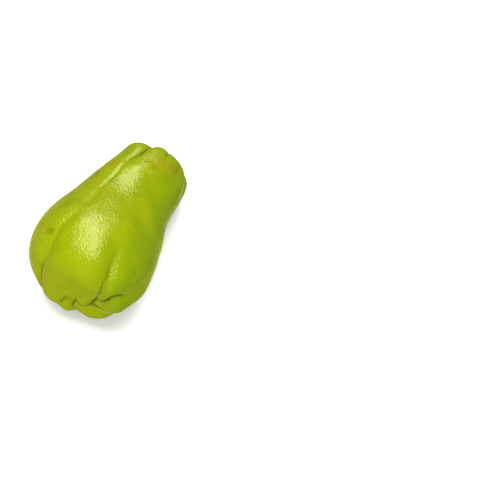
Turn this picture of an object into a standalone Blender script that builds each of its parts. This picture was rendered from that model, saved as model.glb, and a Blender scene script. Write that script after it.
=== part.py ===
"""Chayote squash: one whole fruit, picked, lying on its side.

Metres, +Z up. The long axis runs along Y, with the folded blossom end at -Y and the
stem end at +Y. The belly and the neck both rest on z = 0.
"""

import math

import bpy
import numpy as np
from mathutils import Vector
from mathutils.bvhtree import BVHTree

# Driving dimensions of the fruit
LENGTH = 0.132
WIDTH = 0.085
HEIGHT = 0.078
REST_PRESS = 0.0012  # how far the soft underside is pressed flat where the fruit lies

MM = 0.001
CAGE_SIDES = 24
SKIN_LEVELS = 2
SKIN_COLOUR = (0.40, 0.50, 0.01, 1.0)
PATH_STEPS = 12  # points worked out between two places that a furrow runs by

# The cage, ring by ring from the bottom of the mouth to the stem scar, in millimetres:
# place along the fruit, place of the middle to the side, half width, lowest and highest.
CAGE = (
    (3.5, 14.0, 0.0, 42.0, 42.0),
    (2.2, 14.0, 5.5, 37.0, 47.0),
    (0.2, 12.5, 12.5, 31.0, 53.0),
    (-0.6, 8.5, 22.0, 21.5, 60.5),
    (2.0, 4.0, 31.0, 11.5, 69.0),
    (9.0, 1.2, 37.5, 4.0, 76.0),
    (21.0, -0.2, 42.0, 0.0, 79.5),
    (36.0, -0.8, 43.2, -1.5, 79.5),
    (53.0, -1.2, 41.3, -1.0, 74.0),
    (70.0, -0.3, 37.6, 0.0, 66.0),
    (87.0, 0.0, 33.0, 1.0, 58.6),
    (103.0, 2.7, 30.9, 0.5, 56.9),
    (117.0, 5.7, 29.5, 0.0, 53.1),
    (131.0, 8.2, 25.9, 2.0, 47.2),
    (138.8, 9.3, 16.5, 9.0, 39.5),
    (137.7, 9.3, 7.0, 17.0, 30.0),
    (130.2, 9.3, 0.0, 23.5, 23.5),
)

# Swellings of the lobes in millimetres: middle, radius, height, which is below 0 for a dent.
SWELLS = {
    "lip_upper": ((0, 0, 42), 13, 1.6),
    "lip_right": ((28, 2, 64), 8, 0.8),
    "lobe_right": ((26, 1, 42), 8, 1.2),
    "lip_lower": ((14, 0, 14), 13, 2.4),
    "lobe_small": ((-6, -1, 17), 5.5, 2.6),
    "lobe_left": ((-15.5, 4, 16.5), 12.5, 4.6),
    "lobe_low": ((27, 0.6, 31), 6, 1.1),
    "dent_right": ((37, 4, 22), 12, -5.5),
    "neck_left": ((-8, 132.5, 38), 9, 4.4),
    "neck_right": ((13, 135, 38), 9, 1.0),
}

# Wide furrows that part the lobes: depth and half width in millimetres, the shares of
# the length over which the start and the end fade out, then the places that it runs by.
FURROWS = {
    "front": (
        (2.1, 5.5),
        (0, 0.7),
        ((16, 1, 47), (19, 1, 58), (20, 6, 66), (20, 14, 70), (19, 23, 73), (18, 34, 75), (17, 50, 73)),
    ),
    "left": (
        (1.6, 4.5),
        (0.2, 0.3),
        ((-24, 4, 22), (-23, 2, 36), (-21, 3, 50), (-20, 8, 65), (-20, 19, 72), (-14, 58, 69)),
    ),
    "left_neck": (
        (1.3, 3.5),
        (0.3, 0.3),
        ((-14.5, 48, 73), (-13, 58, 69), (-12, 76, 60.5), (-9.5, 90, 56), (-7, 105, 52), (-5, 112, 51)),
    ),
    "right": (
        (2.0, 5.5),
        (0.1, 0.6),
        ((21, 0, 48), (28, 2, 56), (36, 12, 51), (41, 26, 46), (43, 48, 40)),
    ),
    "right_low": (
        (0.8, 4.5),
        (0, 0.6),
        ((14, 1, 35), (21, 1, 32), (28, 1, 30), (35, 7, 27), (41, 20, 23)),
    ),
    "belly": (
        (1.8, 4.5),
        (0, 0.6),
        ((-2, -2, 31), (0, -2, 23), (2, 0, 15), (4, 6, 7), (6, 18, 1), (8, 40, 0)),
    ),
    "belly_left": (
        (2.2, 5.0),
        (0.2, 0.5),
        ((-8, 0, 26), (-11, 3, 14), (-14, 14, 4), (-16, 34, 0), (-16, 60, 1)),
    ),
    "neck_right": ((2.0, 5.0), (0, 0.6), ((10, 137, 24), (24, 134, 28), (33, 119, 28), (36, 94, 30))),
    "neck_left": ((2.0, 5.0), (0, 0.6), ((6, 137, 22), (-12, 133, 18), (-21, 117, 14), (-26, 92, 14))),
    "neck_under": ((2.0, 5.0), (0, 0.6), ((9, 137, 20), (14, 133, 8), (18, 117, 2), (20, 94, 3))),
    "neck_groove": (
        (1.6, 3.4),
        (0.4, 0.2),
        ((-8, 106, 51), (-4, 115, 49.6), (0, 125, 47), (2, 131, 42), (5, 136, 34)),
    ),
}

# Tight creases where the lobes are folded together, given in the same way.
CREASES = {
    "mouth": (
        (3.2, 2.4),
        (0.1, 0.4),
        (
            (-7, -2, 32),
            (-2, -2, 32.5),
            (2.5, -2, 30.5),
            (8, -1, 31),
            (13, 1.5, 38),
            (17.5, 2, 43.5),
            (21, 0, 48),
            (25.5, 0, 54.5),
            (30, 3, 56.5),
            (38.5, 14, 49),
        ),
    ),
    "front": (
        (1.4, 2.4),
        (0.05, 0.9),
        ((14.5, 2.5, 41), (16, 3.5, 47), (19, 2, 56), (19, 5, 65), (20.5, 8.5, 67.5), (19, 23, 72)),
    ),
    "lower_right": (
        (2.2, 2.2),
        (0.12, 0.88),
        ((6, 0, 31.5), (14, 1, 33), (25, 0.6, 30.6), (31, 3, 29), (38, 11, 25)),
    ),
    "lower_left": (
        (2.4, 2.2),
        (0.1, 0.75),
        ((-1.5, -2, 33), (-1, -2, 28), (0.5, -2, 22), (2.5, 0, 15), (4, 5, 8)),
    ),
    "left": (
        (1.4, 2.4),
        (0.2, 0.5),
        ((-23, 10, 12), (-25, 4, 20), (-25.5, 2, 29), (-24, 3, 45), (-21.5, 8, 64.7), (-19, 40, 73)),
    ),
    "stem": (
        (2.4, 2.2),
        (0, 0.4),
        ((9, 132, 25), (6, 136, 30), (4, 134.5, 37), (2, 131.5, 42), (-2, 119.3, 48.9), (-9, 106, 50.3)),
    ),
    "stem_top": ((1.4, 2.2), (0, 0.6), ((10, 133, 25), (12, 137, 33), (14, 133, 42), (18, 126, 48))),
    "stem_right": ((1.4, 2.2), (0, 0.8), ((10, 132, 24), (19, 137, 26), (27, 132, 28), (32, 121, 28))),
    "stem_left": ((1.4, 2.2), (0, 0.8), ((8, 132, 23), (-1, 137, 20), (-10, 134, 18), (-18, 122, 15))),
    "stem_under": ((1.4, 2.2), (0, 0.8), ((9, 132, 22), (10, 137, 15), (13, 134, 8), (16, 124, 3))),
}


def clear_scene():
    for obj in list(bpy.data.objects):
        bpy.data.objects.remove(obj, do_unlink=True)


def cage_fruit():
    """A sphere of rings about Y, each ring put at its row of the cage."""
    bpy.ops.mesh.primitive_uv_sphere_add(segments=CAGE_SIDES, ring_count=len(CAGE) - 1)
    fruit = bpy.context.object
    fruit.name = fruit.data.name = "chayote"
    for point in fruit.data.vertices:
        pole_angle = math.acos(max(-1.0, min(1.0, point.co.z)))
        row = CAGE[round(pole_angle / math.pi * (len(CAGE) - 1))]
        along, side, half_width, low, high = row
        around = math.atan2(point.co.y, point.co.x)
        middle, half_height = (low + high) / 2, (high - low) / 2
        across = side + half_width * math.cos(around)
        up = middle + half_height * math.sin(around)
        point.co = Vector((across, along, up)) * MM
    return fruit


def round_skin(fruit):
    """Smooth the cage with Subdivision Surface and keep the result as the mesh."""
    rounding = fruit.modifiers.new("rounding", "SUBSURF")
    rounding.levels = rounding.render_levels = SKIN_LEVELS
    bpy.context.view_layer.objects.active = fruit
    bpy.ops.object.modifier_apply(modifier=rounding.name)


def skin_tree(fruit):
    return BVHTree.FromObject(fruit, bpy.context.evaluated_depsgraph_get())


def smooth_path(places, tree):
    """Points along a smooth curve through the places, each laid on the skin."""
    knots = [Vector(place) * MM for place in places]
    knots = [2 * knots[0] - knots[1], *knots, 2 * knots[-1] - knots[-2]]
    path = []
    for before, start, end, after in zip(knots, knots[1:], knots[2:], knots[3:]):
        for step in range(PATH_STEPS):
            t = step / PATH_STEPS
            bend = (2 * before - 5 * start + 4 * end - after) * t**2
            twist = (3 * start - before - 3 * end + after) * t**3
            place = (2 * start + (end - before) * t + bend + twist) / 2
            path.append(tree.find_nearest(place)[0])
    return np.array(path)


def fade_at(share, fade):
    """1 along the middle of a path, falling smoothly to 0 over the given parts at its ends."""
    start, end = fade
    rise = np.clip(share / start, 0, 1) if start else np.ones_like(share)
    fall = np.clip((1 - share) / end, 0, 1) if end else np.ones_like(share)
    return (3 - 2 * rise) * rise**2 * (3 - 2 * fall) * fall**2


def furrow_depth(co, path, size, fade):
    """How far each point of the skin sinks into one furrow."""
    depth, half_width = size
    distances = np.linalg.norm(co[:, None] - path[None], axis=2)
    share = distances.argmin(1) / (len(path) - 1)
    distance = distances.min(1)
    return depth * MM * fade_at(share, fade) * np.exp(-((distance / (half_width * MM)) ** 2))


def press_skin(fruit, furrows, swells):
    """Sink the furrows and raise the swells at once. Where furrows cross, the deepest rules."""
    tree = skin_tree(fruit)
    co = np.array([point.co for point in fruit.data.vertices])
    normals = np.array([point.normal for point in fruit.data.vertices])
    cubes = np.zeros(len(co))
    raised = np.zeros(len(co))
    for size, fade, places in furrows.values():
        cubes += furrow_depth(co, smooth_path(places, tree), size, fade) ** 3
    for place, radius, height in swells.values():
        middle = np.array(tree.find_nearest(Vector(place) * MM)[0])
        distance = np.linalg.norm(co - middle, axis=1)
        raised += height * MM * np.exp(-((distance / (radius * MM)) ** 2))
    co += normals * (raised - np.cbrt(cubes))[:, None]
    for point, place in zip(fruit.data.vertices, co):
        point.co = place
    fruit.data.update()


def lay_down(fruit):
    """Scale to the driving dimensions, press the underside flat and stand it on z = 0."""
    co = np.array([point.co for point in fruit.data.vertices])
    low, high = co.min(0), co.max(0)
    size = np.array((WIDTH, LENGTH, HEIGHT + REST_PRESS))
    co = (co - low) / (high - low) * size - (WIDTH / 2, LENGTH / 2, REST_PRESS)
    co[:, 2] = np.maximum(co[:, 2], 0.0)
    for point, place in zip(fruit.data.vertices, co):
        point.co = place
    fruit.data.update()


def skin_material():
    material = bpy.data.materials.new("chayote_skin")
    material.use_nodes = True
    shader = material.node_tree.nodes["Principled BSDF"]
    shader.inputs["Base Color"].default_value = SKIN_COLOUR
    shader.inputs["Roughness"].default_value = 0.35
    shader.inputs["Metallic"].default_value = 0.0
    material.diffuse_color = SKIN_COLOUR
    return material


def main():
    clear_scene()
    fruit = cage_fruit()
    round_skin(fruit)
    press_skin(fruit, FURROWS, SWELLS)
    press_skin(fruit, CREASES, {})
    lay_down(fruit)
    fruit.data.materials.append(skin_material())
    fruit.data.shade_smooth()


main()
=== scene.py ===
"""Looks of the chayote squash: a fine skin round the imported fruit, its finish, and a pale studio."""

import math

import bmesh
import bpy
import numpy as np
from mathutils import Euler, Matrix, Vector
from mathutils.bvhtree import BVHTree


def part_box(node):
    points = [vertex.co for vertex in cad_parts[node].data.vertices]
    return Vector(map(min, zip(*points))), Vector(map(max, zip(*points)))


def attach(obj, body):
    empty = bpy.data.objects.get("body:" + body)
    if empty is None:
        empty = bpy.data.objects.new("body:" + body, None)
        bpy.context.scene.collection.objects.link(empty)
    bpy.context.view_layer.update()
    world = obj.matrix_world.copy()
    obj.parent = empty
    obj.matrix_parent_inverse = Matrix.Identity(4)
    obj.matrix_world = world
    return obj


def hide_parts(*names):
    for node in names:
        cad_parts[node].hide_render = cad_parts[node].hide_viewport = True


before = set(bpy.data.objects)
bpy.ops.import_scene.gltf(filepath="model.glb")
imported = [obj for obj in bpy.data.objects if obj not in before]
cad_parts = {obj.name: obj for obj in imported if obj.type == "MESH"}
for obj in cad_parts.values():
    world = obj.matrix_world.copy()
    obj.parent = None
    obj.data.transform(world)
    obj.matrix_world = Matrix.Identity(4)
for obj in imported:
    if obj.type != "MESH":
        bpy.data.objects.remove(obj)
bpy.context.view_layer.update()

MM = 0.001
FRUIT_LOW, FRUIT_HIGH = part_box("chayote")

# The fruit is shaped in millimetres in a frame of its own: the mouth near Y = 0, the stem end at +Y and
# the underside near Z = 0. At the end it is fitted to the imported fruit's box.

# ---------------------------------------------------------------- the whole body

CAGE_SIDES = 24
SKIN_LEVELS = 4
SAME_RING = 1e-3  # how near points of one ring lie along Y, in radii of the first sphere

# The cage, ring by ring from the bottom of the mouth to the stem scar:
# place along the fruit, place of the middle to the side, half width, lowest and highest.
CAGE = (
    (3.5, 14.0, 0.0, 42.0, 42.0),
    (2.2, 14.0, 5.5, 37.0, 47.0),
    (0.2, 12.5, 12.5, 31.0, 53.0),
    (-0.6, 8.5, 22.0, 21.5, 60.5),
    (2.0, 4.0, 31.0, 11.5, 69.0),
    (9.0, 1.2, 37.5, 4.0, 76.0),
    (21.0, -0.2, 42.0, 0.0, 79.5),
    (36.0, -0.8, 43.2, -1.5, 79.5),
    (53.0, -1.2, 41.3, -1.0, 74.0),
    (70.0, -0.3, 37.6, 0.0, 66.0),
    (87.0, 0.0, 33.0, 1.0, 58.6),
    (103.0, 2.7, 30.9, 0.5, 56.9),
    (117.0, 5.7, 29.5, 0.0, 53.1),
    (131.0, 8.2, 25.9, 2.0, 47.2),
    (138.8, 9.3, 16.5, 9.0, 39.5),
    (137.7, 9.3, 7.0, 17.0, 30.0),
    (130.2, 9.3, 0.0, 23.5, 23.5),
)
RINGS = len(CAGE) - 1


def points_of(fruit, what="co"):
    """Each point's place, or its normal, in metres."""
    values = np.empty(len(fruit.data.vertices) * 3, np.float32)
    fruit.data.vertices.foreach_get(what, values)
    return values.reshape(-1, 3).astype(float)


def set_points(fruit, co):
    fruit.data.vertices.foreach_set("co", co.astype(np.float32).ravel())
    fruit.data.update()


def start_editing(fruit):
    bpy.context.view_layer.objects.active = fruit
    bpy.ops.object.mode_set(mode="EDIT")
    bpy.ops.mesh.select_mode(type="VERT")
    bpy.ops.mesh.select_all(action="DESELECT")


def select_points(fruit, chosen):
    """Selects the chosen points and no others, in edit mode."""
    mesh = bmesh.from_edit_mesh(fruit.data)
    for point in mesh.verts:
        point.select_set(bool(chosen[point.index]))
    mesh.select_flush_mode()
    bmesh.update_edit_mesh(fruit.data)


def stop_editing():
    bpy.ops.mesh.select_all(action="DESELECT")
    bpy.ops.object.mode_set(mode="OBJECT")


def apply_modifier(fruit, modifier):
    bpy.context.view_layer.objects.active = fruit
    bpy.ops.object.modifier_apply(modifier=modifier.name)


def settle_order(fruit):
    """Lists the faces in one fixed order, because a new sphere may have them in any."""
    co = [point.co.copy() for point in fruit.data.vertices]
    faces = sorted(tuple(face.vertices) for face in fruit.data.polygons)
    fruit.data.clear_geometry()
    fruit.data.from_pydata(co, [], faces)


def add_cage():
    """A sphere with its poles along Y, one ring of points for each row of the cage."""
    bpy.ops.object.select_all(action="DESELECT")
    bpy.ops.mesh.primitive_uv_sphere_add(
        segments=CAGE_SIDES, ring_count=RINGS, radius=1.0, rotation=(-math.pi / 2, 0, 0)
    )
    fruit = bpy.context.object
    fruit.name = fruit.data.name = "chayote_skin"
    bpy.ops.object.transform_apply(location=True, rotation=True, scale=True)
    settle_order(fruit)
    return fruit


def shape_cage(fruit):
    """Each ring is picked by its place along Y, then moved and sized to its row."""
    start_y = points_of(fruit)[:, 1]
    start_editing(fruit)
    for number, (along, side, half_width, low, high) in enumerate(CAGE):
        angle = math.pi * number / RINGS
        ring_y, radius = -math.cos(angle), math.sin(angle)
        select_points(fruit, np.abs(start_y - ring_y) < SAME_RING)
        if 0 < number < RINGS:
            wide = half_width * MM / radius
            tall = (high - low) / 2 * MM / radius
            bpy.ops.transform.resize(value=(wide, 1, tall), center_override=(0, ring_y, 0))
        move = Vector((side * MM, along * MM - ring_y, (low + high) / 2 * MM))
        bpy.ops.transform.translate(value=move)
    stop_editing()


def round_skin(fruit):
    rounding = fruit.modifiers.new("rounding", "SUBSURF")
    rounding.levels = rounding.render_levels = SKIN_LEVELS
    apply_modifier(fruit, rounding)


# ---------------------------------------------------------------- furrows, folds and swells

PATH_STEP = 0.5  # between the points worked out along a fold
SHADE_WIDTH = 0.6  # width of the painted shade at the bottom of a furrow, in widths of the furrow

BOTTOM_ROUND = 0.1  # square millimetres: it rounds off the very bottom of a crease
BOTTOM_SHIFT = 0.3  # brings the bottom of a crease back to its full depth
LIP_FADE = 2.5, 1.3  # how much longer than its crease a lip takes to fade, at the start and the end
LONGEST_FADE = 0.5  # of the path
HIGHLIGHT_OFF, HIGHLIGHT_WIDTH = 1.2, 1.0  # the painted highlight along a lip's edge: its distance from the crease, and its width
OVERHANG = 0.35  # where a lip leans over most, in plump widths from the crease
PINCH = 0.45  # how far a fold draws its two sides together, as a share of their distance
MOST_SLIDE = 0.7  # the most that a point slides, as a share of its distance from the crease

SCAR_PLACE = (9.3, 131.5, 23.5)
LIPS_START, LIPS_FULL = 5.0, 13.0  # distance from the scar at which lips begin, and are at full height
PIT_RADIUS, PIT_PASSES = 9.0, 14  # how far round the scar the hollow is evened out, and how often
SCAR_CORE, SCAR_EDGE = 1.92, 5.12  # the bark is full out to the first, and gone at the second
RIM_HEIGHT, RIM_RADIUS, RIM_WIDTH = 0.7, 2.8, 0.9  # the welt round the scar
DENT_DEPTH, DENT_RADIUS = 0.8, 1.4  # the dent in its middle


def smooth_path(places):
    """Points about PATH_STEP apart along a smooth curve through the places."""
    knots = np.array(places, float)
    knots = np.vstack((2 * knots[0] - knots[1], knots, 2 * knots[-1] - knots[-2]))
    path = []
    for before, start, end, after in zip(knots, knots[1:], knots[2:], knots[3:]):
        count = max(2, int(np.linalg.norm(end - start) / PATH_STEP))
        t = (np.arange(count) / count)[:, None]
        square = (2 * before - 5 * start + 4 * end - after) * t**2
        cube = (3 * start - before - 3 * end + after) * t**3
        path.append((2 * start + (end - before) * t + square + cube) / 2)
    return np.vstack((*path, knots[-2:-1]))


def lay_on_skin(path, tree):
    """The path's points moved to the skin, and the skin's normal at each."""
    found = [tree.find_nearest(Vector(point * MM)) for point in path]
    points = np.array([place for place, _, _, _ in found]) / MM
    normals = np.array([normal for _, normal, _, _ in found])
    return points, normals


def bell(distance, width):
    """1 at distance 0, falling smoothly to almost 0 at twice the width."""
    return np.exp(-((distance / width) ** 2))


def ends(gone, fade):
    """1 along the middle of a path, falling smoothly to 0 at its ends over those parts of it."""
    start, end = fade
    rise = np.clip(gone / start, 0, 1) if start else np.ones_like(gone)
    fall = np.clip((1 - gone) / end, 0, 1) if end else np.ones_like(gone)
    return rise * rise * (3 - 2 * rise) * fall * fall * (3 - 2 * fall)


def from_scar(co):
    return np.linalg.norm(co - np.array(SCAR_PLACE), axis=1)


class Skin:
    """The fruit's points, their normals, a tree to lay paths on, and what is modelled so far."""

    def __init__(self, fruit):
        self.fruit = fruit
        count = len(fruit.data.vertices)
        # Painted shade of the creases and the bottoms of furrows.
        self.crease_shade = np.zeros(count)
        # Painted highlight along the edges of the lips.
        self.lip_highlight = np.zeros(count)
        self.scar = np.zeros(count)
        self.start_afresh()

    def start_afresh(self):
        self.co = points_of(self.fruit) / MM
        self.normals = points_of(self.fruit, "normal")
        self.tree = BVHTree.FromObject(self.fruit, bpy.context.evaluated_depsgraph_get())
        self.sunk = np.zeros(len(self.co))
        self.raised = np.zeros(len(self.co))
        self.slid = np.zeros_like(self.co)

    def near(self, places, reach):
        """The points within reach of the path, how far each is aside of it (left is above 0), how much of
        the path is gone there, and the path's direction to the left."""
        path, path_normals = lay_on_skin(smooth_path(places), self.tree)
        along = np.gradient(path, axis=0)
        along /= np.linalg.norm(along, axis=1)[:, None]
        left = np.cross(path_normals, along)
        left /= np.linalg.norm(left, axis=1)[:, None]
        inside = (self.co > path.min(0) - reach) & (self.co < path.max(0) + reach)
        which = np.flatnonzero(np.all(inside, axis=1))
        best = np.full(len(which), np.inf)
        nearest = np.zeros(len(which), int)
        for number, point in enumerate(path):
            distance = ((self.co[which] - point) ** 2).sum(1)
            closer = distance < best
            best[closer] = distance[closer]
            nearest[closer] = number
        close = best < reach**2
        which, nearest, distance = which[close], nearest[close], np.sqrt(best[close])
        aside = ((self.co[which] - path[nearest]) * left[nearest]).sum(1)
        gone = nearest / (len(path) - 1)
        return which, np.copysign(distance, aside), gone, left[nearest]

    def away_from(self, place):
        """How far each point is from the spot on the skin that is nearest to the place."""
        spot = lay_on_skin(np.array([place], float), self.tree)[0][0]
        return np.linalg.norm(self.co - spot, axis=1)

    def furrow(self, places, depth, width, fade=(0.2, 0.3), shade=0.0):
        """A soft valley with round sides. Its bottom gets painted shade, a darker green, by shade."""
        which, aside, gone, _ = self.near(places, 3 * width)
        strength = ends(gone, fade)
        self.sunk[which] += (depth * strength * bell(aside, width)) ** 3
        # Painted shade along the bottom of the furrow.
        bottom = shade * strength * bell(aside, SHADE_WIDTH * width)
        self.crease_shade[which] = np.maximum(self.crease_shade[which], bottom)

    def ridge(self, places, height, width, fade=(0.3, 0.3)):
        """A low round welt."""
        which, aside, gone, _ = self.near(places, 3 * width)
        self.raised[which] += height * ends(gone, fade) * bell(aside, width)

    def fold(
        self, places, depth, rise=(0, 0), width=0.9, plump=3.5, reach=8, lean=0.0, fade=(0.15, 0.3)
    ):
        """A sharp crease. Its left and right lips are plump and stand up by rise, and the higher one
        hangs over the crease by lean."""
        which, aside, gone, left = self.near(places, 2 * reach)
        off = np.abs(aside)
        narrow = np.exp(-(np.sqrt(off**2 + BOTTOM_ROUND) - BOTTOM_SHIFT) / width)
        sunk = depth * ends(gone, fade) * narrow
        self.sunk[which] += sunk**3
        # Painted shade in the crease, darker the deeper it is sunk.
        self.crease_shade[which] = np.maximum(self.crease_shade[which], sunk)

        lip_fade = [min(longer * part, LONGEST_FADE) for longer, part in zip(LIP_FADE, fade)]
        swelling = ends(gone, lip_fade)
        begun = (from_scar(self.co[which]) - LIPS_START) / (LIPS_FULL - LIPS_START)
        swelling *= np.clip(begun, 0, 1)
        rounded = np.sqrt(1 - (1 - np.clip(off / plump, 0, 1)) ** 2)
        fall = bell(np.maximum(off - plump, 0), reach)
        height = np.where(aside > 0, rise[0], rise[1])
        self.raised[which] += swelling * height * rounded * fall

        over = np.sign(rise[0] - rise[1]) * lean
        upper = np.where(aside * over > 0, 1.0, 0.0)
        # A painted highlight along the edge of the lip that hangs over.
        edge_highlight = min(1, 2 * abs(over)) * swelling * upper * bell(off - HIGHLIGHT_OFF, HIGHLIGHT_WIDTH)
        self.lip_highlight[which] = np.maximum(self.lip_highlight[which], edge_highlight)
        slide = over * upper * bell(off / plump - OVERHANG, OVERHANG)
        slide += PINCH * aside * bell(aside, 2 * width)
        slide = np.copysign(np.minimum(np.abs(slide), MOST_SLIDE * off), aside)
        self.slid[which] -= (swelling * slide)[:, None] * left

    def swell(self, place, radius, height):
        """A round bulge, or a dent where height is below 0."""
        self.raised += height * bell(self.away_from(place), radius)

    def press(self):
        """Moves the points by all that was gathered, and starts afresh from the new skin."""
        out = self.raised - np.cbrt(self.sunk)
        set_points(self.fruit, (self.co + self.normals * out[:, None] + self.slid) * MM)
        self.start_afresh()


def model_lobes(skin):
    """The wide furrows that part the lobes, and the swell of each lobe."""
    # From the right of the mouth over the shoulder.
    skin.furrow(
        ((16, 1, 47), (19, 1, 58), (20.3, 6, 66), (20, 14, 70), (19, 23, 73), (18.5, 34, 75),
         (17, 50, 73)),
        2.1, 5.5, (0, 0.7), shade=1.35,
    )
    # Up the left side and along the body to the neck.
    skin.furrow(
        ((-24, 4, 22), (-23, 2, 36), (-21, 3, 50), (-19.5, 8, 65), (-20, 19, 72), (-19.5, 28, 73.5),
         (-17, 38, 74), (-14.5, 48, 73), (-13.5, 58, 69)),
        1.6, 4.5, (0.2, 0.3), shade=0.9,
    )
    skin.furrow(
        ((-14.5, 48, 73), (-13, 58, 69), (-12.5, 68, 64.5), (-12, 76, 60.5), (-11, 83, 58)),
        0.9, 2.6, (0.3, 0.5),
    )
    skin.furrow(
        ((-12.5, 68, 64.5), (-12, 76, 60.5), (-11, 83, 58), (-9.5, 90, 56), (-8, 97, 54.5),
         (-7, 105, 52), (-5, 112, 51)),
        0.8, 1.6, (0.3, 0.2),
    )
    # Out to the right side from the mouth.
    skin.furrow(((21, 0, 48), (28, 2, 56), (36, 12, 51), (41, 26, 46), (43, 48, 40)), 2.0, 5.5, (0.1, 0.6))
    skin.furrow(
        ((14, 0.9, 35), (21, 0.7, 32), (28, 1, 30), (35, 7, 27), (41, 20, 23), (41, 44, 18)),
        0.8, 4.5, (0, 0.6),
    )
    # Down from the mouth and under the fruit.
    skin.furrow(
        ((-2, -2, 31), (0, -2, 23), (2, 0, 15), (4, 6, 7), (6, 18, 1), (8, 40, 0)),
        1.8, 4.5, (0, 0.6),
    )
    skin.furrow(((-8, 0, 26), (-11, 3, 14), (-14, 14, 4), (-16, 34, 0), (-16, 60, 1)), 2.2, 5.0, (0.2, 0.5))
    # Out of the stem hollow, to the right, to the left and underneath.
    skin.furrow(((10, 137, 24), (24, 134, 28), (33, 119, 28), (36, 94, 30)), 2.0, 5.0, (0, 0.6))
    skin.furrow(((6, 137, 22), (-12, 133, 18), (-21, 117, 14), (-26, 92, 14)), 2.0, 5.0, (0, 0.6))
    skin.furrow(((9, 137, 20), (14, 133, 8), (18, 117, 2), (20, 94, 3)), 2.0, 5.0, (0, 0.6))

    # The lobes round the mouth.
    skin.swell((0, 0, 42), 13, 1.6)
    skin.swell((28, 2, 64), 8, 0.8)
    skin.swell((26, 1, 42), 8, 1.2)
    skin.swell((14, 0, 14), 13, 2.4)
    skin.swell((-6, -1, 17), 5.5, 2.6)
    skin.swell((-15.5, 4, 16.5), 12.5, 4.6)
    skin.swell((37, 4, 22), 12, -5.5)
    skin.swell((27, 0.6, 31), 6, 1.1)
    skin.swell((-2.8, -2.4, 30.5), 2.5, -1.6)

    # The two lobes of the stem end, with the groove between them and the welt where the neck begins.
    skin.swell((-8, 132.5, 38), 9, 4.4)
    skin.swell((11, 135, 39), 9, 2.2)
    skin.ridge(((-4, 102, 55), (2, 107, 55.5), (7, 112, 54), (12, 118, 51)), 0.9, 4.5)
    skin.furrow(
        ((-8, 106, 51), (-4.2, 115, 49.6), (-0.4, 125, 47.4), (2, 131.5, 42), (5, 136, 34)),
        1.6, 3.4, (0.4, 0.2),
    )
    skin.swell((18, 99, 53), 9, -1.2)
    skin.swell((24, 17, 70), 3, 0.2)
    skin.press()


# Short shallow wrinkles that run out from the mouth over the lobes: places, then depth.
WRINKLES = (
    (((-4, -2, 33), (-5.5, -1.8, 38), (-5, -1.5, 46)), 0.5),
    (((2.5, -1.6, 32.5), (1.5, -1.4, 37), (2.5, -1.2, 43)), 0.45),
    (((8, -0.8, 33.5), (6.5, -1, 39), (7.5, -1, 50)), 0.55),
    (((22, 0, 49.5), (23.5, 0.5, 56), (26, 3, 64)), 0.5),
    (((27.5, 1, 56), (29.5, 3, 62), (32, 9, 68)), 0.45),
    (((20, 0.5, 44), (25, 0.5, 41), (31, 1.5, 41)), 0.5),
    (((19, 0.7, 38), (25, 0.5, 36), (31, 1.5, 36)), 0.45),
    (((6, -1, 30), (8, -1, 24), (10, 0, 15)), 0.5),
    (((13, 0, 31), (16, 0, 24), (19, 2, 15)), 0.5),
    (((-6, -2, 27), (-7, -1.5, 22), (-7, 0, 16)), 0.5),
    (((-13, -1.5, 30), (-16, -1, 24), (-20, 1, 17)), 0.5),
)

# Shallow wrinkles on top of the stem end.
STEM_WRINKLES = (
    ((21, 132, 41), (22, 126.5, 45), (23, 120, 46.5)),
    ((25, 131, 37), (26, 126, 42), (27, 119, 44)),
)


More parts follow.
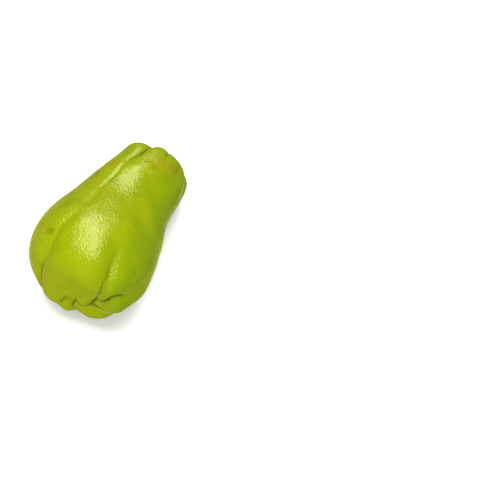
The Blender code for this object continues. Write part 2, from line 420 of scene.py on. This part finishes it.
def model_folds(skin):
    """The sharp creases where the lobes are folded together."""
    # The mouth, from left to right and out over the right side.
    skin.fold(
        ((-7, -2, 32), (-2.4, -2, 32.5), (2.4, -1.7, 30.4), (7.7, -0.8, 31), (11.2, 0.3, 34),
         (13, 1.5, 38), (14.5, 2.5, 41.5), (17.5, 2, 43.5), (21, 0.3, 48), (25.5, 0, 54.5),
         (30, 2.7, 56.5), (34, 7.5, 53.5), (38.5, 14, 49)),
        3.6, rise=(1.6, 0.5), width=1.15, lean=0.5, fade=(0.1, 0.4),
    )
    # The bottom of the furrow over the shoulder.
    skin.fold(
        ((14.5, 2.5, 41), (15.8, 3.5, 47), (18.8, 2, 56), (19.2, 5, 65), (20.7, 8.5, 67.5),
         (20, 14, 70), (19, 23, 72)),
        1.4, rise=(0.4, 1.0), width=1.2, lean=0.3, fade=(0.05, 0.9),
    )
    # From the mouth to the right, below the right lobe.
    skin.fold(
        ((6, -0.4, 31.5), (10, 0.2, 32.6), (14, 0.8, 33), (19, 0.7, 32), (25, 0.6, 30.6), (31, 3, 29),
         (38, 11, 25)),
        2.8, rise=(0.6, 0.8), lean=0.3, plump=3, fade=(0.12, 0.88),
    )
    # Down from the mouth between the two lower lobes, and round the small knob beside it.
    skin.fold(
        ((-1.4, -2.1, 33), (-0.7, -2.2, 28), (0.5, -2.1, 22), (2.5, -0.3, 15), (4, 5, 8)),
        2.6, rise=(1.3, 0.3), lean=0.6, plump=3, fade=(0.1, 0.75),
    )
    skin.fold(
        ((-2.5, -2.4, 31), (-6, -2.3, 29.5), (-9, -1.8, 25), (-9.5, -0.5, 17)),
        2.0, rise=(0.6, 0.5), plump=2.5, fade=(0.1, 0.6),
    )
    # The bottom of the furrow up the left side.
    skin.fold(
        ((-23, 10, 12), (-25, 4, 20), (-25.5, 2, 29), (-24.5, 2.5, 38), (-23.7, 3, 45.6),
         (-22.8, 4.5, 54.8), (-21.5, 8, 64.7), (-20.5, 12, 68.5), (-20, 19, 71.7)),
        2.0, rise=(0.1, 0.9), width=0.9, lean=0.5, fade=(0.2, 0.5),
    )
    # Out of the stem hollow and up between its two lobes.
    skin.fold(
        ((9, 132, 25), (6, 136, 30), (4, 134.5, 37), (2, 131.5, 42), (-0.4, 125, 47.4),
         (-2.2, 119.3, 48.9), (-4.2, 115, 49.6), (-6.3, 110.7, 50.1), (-9, 106, 50.3)),
        2.6, rise=(1.3, 0.9), width=1.1, lean=0.5, plump=3, fade=(0, 0.4),
    )
    skin.fold(
        ((10, 133, 25), (12, 137, 33), (14.5, 133.5, 42), (16.5, 129, 46.7), (18.5, 126, 47.7),
         (20.5, 122, 47.8)),
        1.4, rise=(0.4, 0.3), width=1.3, fade=(0, 0.6),
    )
    # Out of the stem hollow to the right, to the left and underneath.
    skin.fold(
        ((10, 132, 24), (19, 137, 26), (27, 132, 28), (32, 121, 28)),
        1.6, rise=(0.3, 0.4), width=1.2, fade=(0, 0.8),
    )
    skin.fold(
        ((8, 132, 23), (-1, 137, 20), (-10, 134, 18), (-18, 122, 15)),
        1.6, rise=(0.4, 0.3), width=1.2, fade=(0, 0.8),
    )
    skin.fold(
        ((9, 132, 22), (10.5, 137, 15), (13, 134, 8), (16, 124, 3)),
        1.6, rise=(0.3, 0.3), width=1.2, fade=(0, 0.8),
    )
    for places in STEM_WRINKLES:
        skin.fold(places, 0.7, width=1.2, fade=(0.3, 0.5))
    for places, depth in WRINKLES:
        skin.fold(places, depth, width=1.3, fade=(0.4, 0.5))
    skin.press()


def smooth_pit(skin):
    """Evens out the bottom of the stem hollow, where the creases run together."""
    start_editing(skin.fruit)
    select_points(skin.fruit, from_scar(skin.co) < PIT_RADIUS)
    bpy.ops.mesh.vertices_smooth(factor=0.5, repeat=PIT_PASSES)
    stop_editing()
    skin.start_afresh()


def model_scar(skin):
    """The round corky scar where the stem broke off, at the bottom of its hollow."""
    distance = skin.away_from(SCAR_PLACE)
    skin.scar = np.clip((SCAR_EDGE - distance) / (SCAR_EDGE - SCAR_CORE), 0, 1)
    skin.raised += RIM_HEIGHT * bell(distance - RIM_RADIUS, RIM_WIDTH)
    skin.raised -= DENT_DEPTH * bell(distance, DENT_RADIUS)
    skin.press()


# ---------------------------------------------------------------- the finished skin

LUMP_SPACING, LUMP_HEIGHT = 22.0, 1.0
FULL_SHADE_DEPTH = 2.5  # depth at which the painted shade of a crease is at its darkest
REST_PRESS = 1.2  # how far the underside is pressed flat where the fruit lies


def roughen(fruit):
    """Low soft lumps all over, as on any grown skin."""
    clouds = bpy.data.textures.new("lumps", "CLOUDS")
    clouds.noise_scale = LUMP_SPACING * MM
    clouds.noise_depth = 1
    lumps = fruit.modifiers.new("lumps", "DISPLACE")
    lumps.texture = clouds
    lumps.texture_coords = "LOCAL"
    lumps.mid_level = 0.5
    lumps.strength = LUMP_HEIGHT * MM
    apply_modifier(fruit, lumps)


def keep_values(fruit, name, values):
    """One value from 0 to 1 at each point, for the finish to read."""
    kept = fruit.data.attributes.new(name, "FLOAT", "POINT")
    kept.data.foreach_set("value", np.clip(values, 0, 1).astype(np.float32))


def fit_to_box(fruit):
    """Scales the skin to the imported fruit's size and presses the underside flat where it lies."""
    co = points_of(fruit)
    low, high = co.min(0), co.max(0)
    box_low, box_high = np.array(FRUIT_LOW), np.array(FRUIT_HIGH)
    press = np.array((0, 0, REST_PRESS * MM))
    size = box_high - box_low + press
    co = (co - low) / (high - low) * size + box_low - press
    co[:, 2] = np.maximum(co[:, 2], box_low[2])
    set_points(fruit, co)


def make_fruit():
    fruit = add_cage()
    shape_cage(fruit)
    round_skin(fruit)
    skin = Skin(fruit)
    model_lobes(skin)
    roughen(fruit)
    skin.start_afresh()
    model_folds(skin)
    smooth_pit(skin)
    model_scar(skin)
    # Painted shade of the creases and furrow bottoms, kept for the finish.
    keep_values(fruit, "crease_shade", skin.crease_shade / FULL_SHADE_DEPTH)
    # Painted highlight of the lip edges, kept for the finish.
    keep_values(fruit, "lip_highlight", skin.lip_highlight)
    keep_values(fruit, "scar", skin.scar)
    fit_to_box(fruit)
    fruit.data.shade_smooth()
    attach(fruit, "root")
    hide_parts("chayote")
    return fruit


# ---------------------------------------------------------------- finish

LEFT_X, RIGHT_X = -0.020, 0.045  # the green deepens and darkens from the first to the second, in metres: partly the skin's own greener side, partly painted shade on the right side
LIME_LEFT, LIME_RIGHT_SHADED = (0.188, 0.228, 0.0008), (0.142, 0.206, 0.0008)
# Painted shade: the darker green of creases and furrow bottoms.
CREASE_SHADE_GREEN = (0.060, 0.070, 0.001)
# Painted highlight: the pale yellow of the lip edges.
LIP_HIGHLIGHT = (0.34, 0.35, 0.014)
BARK_DARK, BARK_LIGHT = (0.055, 0.028, 0.010), (0.20, 0.12, 0.050)

# Mottling: how fine it is, its detail, the noise where it starts and is full, its share and its colour.
CLOUDS = (
    (45, 3, 0.42, 0.68, 0.80, (0.206, 0.244, 0.0010)),
    (60, 3, 0.54, 0.74, 0.65, (0.114, 0.180, 0.0008)),
)
GRAIN = (190, 3, 0.52, 0.80, 0.30, (0.135, 0.180, 0.0008))
SPECKS = (900, 1, 0.70, 0.78, 0.50, (0.26, 0.29, 0.010))

# Patches, on the finished fruit: the spot and its reach in millimetres, its share and its colour.
FAINT_PATCHES = (
    ((17, 46, 50), 14, 0.40, (0.200, 0.160, 0.0010)),
    ((-20, 22, 48), 8, 0.50, (0.150, 0.120, 0.0008)),
)
PATCHES = (
    ((26, 51, 43), 8, 0.50, (0.150, 0.095, 0.0010)),
    ((-14, 34, 48), 6, 0.70, (0.260, 0.150, 0.0010)),
    ((-24, -40, 69), 4.6, 0.85, (0.110, 0.112, 0.0006)),
    ((-16, -50, 70), 15, 0.55, (0.140, 0.190, 0.0008)),
    # Painted light: a lighter, yellower patch on the upper left side.
    ((-19, 4, 58), 16, 0.50, (0.225, 0.255, 0.0012)),
    # Painted reflection: a paler, yellower patch at the lower left of the mouth end.
    ((-16, -64, 22), 12, 0.50, (0.225, 0.235, 0.0012)),
)
PATCH_INNER, PATCH_OUTER = 0.6, 1.5  # where a ragged patch starts to fade and is gone, in reaches

RAGGED_EDGE = (260, 3)  # the noise of its edge: how fine, and its detail

BARK_GRAIN = (700, 3)
PEBBLES, PEBBLE_HEIGHT = (740, 1), 0.8  # the noise of the skin's fine pebbles, and their height
DIMPLES, DIMPLE_HEIGHT = (140, 2), 0.2

WAX_START, WAX_END = 0.040, 0.052  # along the neck, in metres: the skin is less shiny beyond
BODY_ROUGHNESS, NECK_ROUGHNESS = 0.18, 0.26
BARK_ROUGHNESS = 0.5  # added at the scar


class Finish:
    """A material for the fruit, and the nodes that its colour and its bumps are made from."""

    def __init__(self, name):
        self.material = bpy.data.materials.new(name)
        self.material.use_nodes = True
        self.nodes = self.material.node_tree.nodes
        self.links = self.material.node_tree.links
        self.shader = self.nodes["Principled BSDF"]
        self.place = self.nodes.new("ShaderNodeTexCoord").outputs["Object"]

    def noise(self, scale, detail):
        node = self.nodes.new("ShaderNodeTexNoise")
        node.inputs["Scale"].default_value = scale
        node.inputs["Detail"].default_value = detail
        self.links.new(self.place, node.inputs["Vector"])
        return node.outputs["Fac"]

    def kept(self, name):
        """A value that was kept at each point of the mesh."""
        node = self.nodes.new("ShaderNodeAttribute")
        node.attribute_name = name
        return node.outputs["Fac"]

    def spread(self, value, low, high, to_low=0.0, to_high=1.0):
        """Turns low to high into to_low to to_high, smoothly, and stops at both."""
        node = self.nodes.new("ShaderNodeMapRange")
        node.interpolation_type = "SMOOTHSTEP"
        node.inputs["From Min"].default_value = low
        node.inputs["From Max"].default_value = high
        node.inputs["To Min"].default_value = to_low
        node.inputs["To Max"].default_value = to_high
        self.links.new(value, node.inputs["Value"])
        return node.outputs["Result"]

    def times_plus(self, value, factor, added=0.0):
        """value * factor + added, where added is a number or another value."""
        node = self.nodes.new("ShaderNodeMath")
        node.operation = "MULTIPLY_ADD"
        self.links.new(value, node.inputs[0])
        node.inputs[1].default_value = factor
        if isinstance(added, float):
            node.inputs[2].default_value = added
        else:
            self.links.new(added, node.inputs[2])
        return node.outputs["Value"]

    def blend(self, amount, first, second):
        """The first colour where amount is 0, and the second where it is 1."""
        node = self.nodes.new("ShaderNodeMix")
        node.data_type = "RGBA"
        self.links.new(amount, node.inputs[0])
        for socket, colour in ((node.inputs[6], first), (node.inputs[7], second)):
            if isinstance(colour, tuple):
                socket.default_value = (*colour, 1)
            else:
                self.links.new(colour, socket)
        return node.outputs[2]

    def near(self, spot, reach):
        """1 at the spot, falling to 0 at about that many millimetres from it, with a ragged edge."""
        away = self.nodes.new("ShaderNodeVectorMath")
        away.operation = "DISTANCE"
        away.inputs[1].default_value = Vector(spot) * MM
        self.links.new(self.place, away.inputs[0])
        ragged = self.times_plus(self.noise(*RAGGED_EDGE), reach * MM, away.outputs["Value"])
        return self.spread(ragged, PATCH_INNER * reach * MM, PATCH_OUTER * reach * MM, 1, 0)

    def mottle(self, colour, scale, detail, low, high, share, other):
        """The colour with the other one spread over it by noise."""
        return self.blend(self.spread(self.noise(scale, detail), low, high, 0, share), colour, other)

    def patch(self, colour, spot, reach, share, other):
        """The colour with a ragged patch of the other one round the spot."""
        return self.blend(self.times_plus(self.near(spot, reach), share), colour, other)

    def bump(self, height, distance):
        """A bump, distance in millimetres. It gives the node, so that another bump can go under it."""
        node = self.nodes.new("ShaderNodeBump")
        node.inputs["Strength"].default_value = 0.5
        node.inputs["Distance"].default_value = distance * MM
        self.links.new(height, node.inputs["Height"])
        return node


def skin_finish():
    finish = Finish("chayote_skin")
    shader = finish.shader
    across = finish.nodes.new("ShaderNodeSeparateXYZ")
    finish.links.new(finish.place, across.inputs["Vector"])

    # Darker and greener towards the right: partly the skin's own tone, partly painted shade on the right
    # side.
    skin = finish.blend(finish.spread(across.outputs["X"], LEFT_X, RIGHT_X), LIME_LEFT, LIME_RIGHT_SHADED)
    for cloud in CLOUDS:
        skin = finish.mottle(skin, *cloud)
    for patch in FAINT_PATCHES:
        skin = finish.patch(skin, *patch)
    skin = finish.mottle(skin, *GRAIN)
    for patch in PATCHES:
        skin = finish.patch(skin, *patch)
    skin = finish.mottle(skin, *SPECKS)
    # Painted highlight: the lip edges blend to a pale yellow.
    lip_highlight = finish.spread(finish.kept("lip_highlight"), low=0.1, high=1.0, to_high=0.75)
    skin = finish.blend(lip_highlight, skin, LIP_HIGHLIGHT)
    # Painted shade: creases and furrow bottoms blend to a darker green.
    crease_shade = finish.spread(finish.kept("crease_shade"), low=0.1, high=1.0, to_high=0.9)
    skin = finish.blend(crease_shade, skin, CREASE_SHADE_GREEN)
    grain = finish.spread(finish.noise(*BARK_GRAIN), low=0.35, high=0.65)
    scar = finish.spread(finish.kept("scar"), low=0.25, high=0.75)
    skin = finish.blend(scar, skin, finish.blend(grain, BARK_DARK, BARK_LIGHT))
    finish.links.new(skin, shader.inputs["Base Color"])

    pebbles = finish.bump(finish.noise(*PEBBLES), PEBBLE_HEIGHT)
    dimples = finish.bump(finish.noise(*DIMPLES), DIMPLE_HEIGHT)
    finish.links.new(pebbles.outputs["Normal"], dimples.inputs["Normal"])
    finish.links.new(dimples.outputs["Normal"], shader.inputs["Normal"])

    wax = finish.spread(across.outputs["Y"], WAX_START, WAX_END, BODY_ROUGHNESS, NECK_ROUGHNESS)
    finish.links.new(finish.times_plus(scar, BARK_ROUGHNESS, wax), shader.inputs["Roughness"])
    shader.inputs["Specular IOR Level"].default_value = 0.4
    shader.inputs["Specular Tint"].default_value = (1.0, 0.98, 0.5, 1)
    shader.inputs["Sheen Weight"].default_value = 0.42
    shader.inputs["Sheen Roughness"].default_value = 0.24
    shader.inputs["Sheen Tint"].default_value = (1.0, 0.96, 0.3, 1)
    return finish.material


# ---------------------------------------------------------------- studio

FLOOR_SIZE = 6.0
FLOOR_GREY = (0.85, 0.85, 0.85, 1)
SKY_STRENGTH = 0.75

CAMERA_AZIMUTH, CAMERA_ELEVATION = 24.0, 61.0
CAMERA_DISTANCE = 0.81
CAMERA_PAN, CAMERA_TILT = -6.68, -1.57
LENS = 85.0


def add_floor():
    """A wide pale floor, which the shiny skin doesn't mirror."""
    bpy.ops.object.select_all(action="DESELECT")
    bpy.ops.mesh.primitive_plane_add(size=FLOOR_SIZE, location=(0, 0, 0))
    floor = bpy.context.object
    floor.name = "floor"
    material = bpy.data.materials.new("pale_floor")
    material.use_nodes = True
    shader = material.node_tree.nodes["Principled BSDF"]
    shader.inputs["Base Color"].default_value = FLOOR_GREY
    shader.inputs["Roughness"].default_value = 0.8
    floor.data.materials.append(material)
    floor.visible_glossy = False


def add_light(name, azimuth, elevation, distance, width, height, power):
    """A soft rectangular light that faces the fruit from that side, azimuth from +X towards +Y."""
    a, e = math.radians(azimuth), math.radians(elevation)
    out = Vector((math.cos(a) * math.cos(e), math.sin(a) * math.cos(e), math.sin(e)))
    data = bpy.data.lights.new(name, "AREA")
    data.shape = "RECTANGLE"
    data.size = width
    data.size_y = height
    data.energy = power
    light = bpy.data.objects.new(name, data)
    light.location = out * distance
    light.rotation_mode = "QUATERNION"
    light.rotation_quaternion = out.to_track_quat("Z", "Y")
    bpy.context.collection.objects.link(light)
    return light


def light_studio():
    """A white sky and two broad lights, and a long key that makes the highlights and nothing else."""
    world = bpy.data.worlds.new("studio")
    bpy.context.scene.world = world
    world.use_nodes = True
    world.node_tree.nodes["Background"].inputs["Color"].default_value = (1, 1, 1, 1)
    world.node_tree.nodes["Background"].inputs["Strength"].default_value = SKY_STRENGTH
    world.cycles_visibility.glossy = False
    key = add_light("key", azimuth=108, elevation=66, distance=1.3, width=0.78, height=2.2, power=46)
    key.visible_diffuse = False
    top = add_light("top", azimuth=105, elevation=78, distance=1.4, width=1.2, height=1.2, power=32)
    top.visible_glossy = False
    front = add_light("front", azimuth=268, elevation=22, distance=1.4, width=1.2, height=1.2, power=18)
    front.visible_glossy = False


def place_camera():
    """The camera faces the fruit, then turns a little so that the fruit stands left of the middle."""
    a, e = math.radians(CAMERA_AZIMUTH), math.radians(CAMERA_ELEVATION)
    back = Vector((math.sin(a) * math.cos(e), -math.cos(a) * math.cos(e), math.sin(e)))
    data = bpy.data.cameras.new("camera")
    data.lens = LENS
    camera = bpy.data.objects.new("camera", data)
    camera.location = (FRUIT_LOW + FRUIT_HIGH) / 2 + back * CAMERA_DISTANCE
    turn = Euler((math.radians(CAMERA_TILT), math.radians(CAMERA_PAN), 0))
    camera.rotation_mode = "QUATERNION"
    camera.rotation_quaternion = back.to_track_quat("Z", "Y") @ turn.to_quaternion()
    bpy.context.collection.objects.link(camera)
    bpy.context.scene.camera = camera


fruit = make_fruit()
fruit.data.materials.append(skin_finish())
add_floor()
light_studio()
place_camera()
bpy.context.scene.view_settings.view_transform = "Standard"
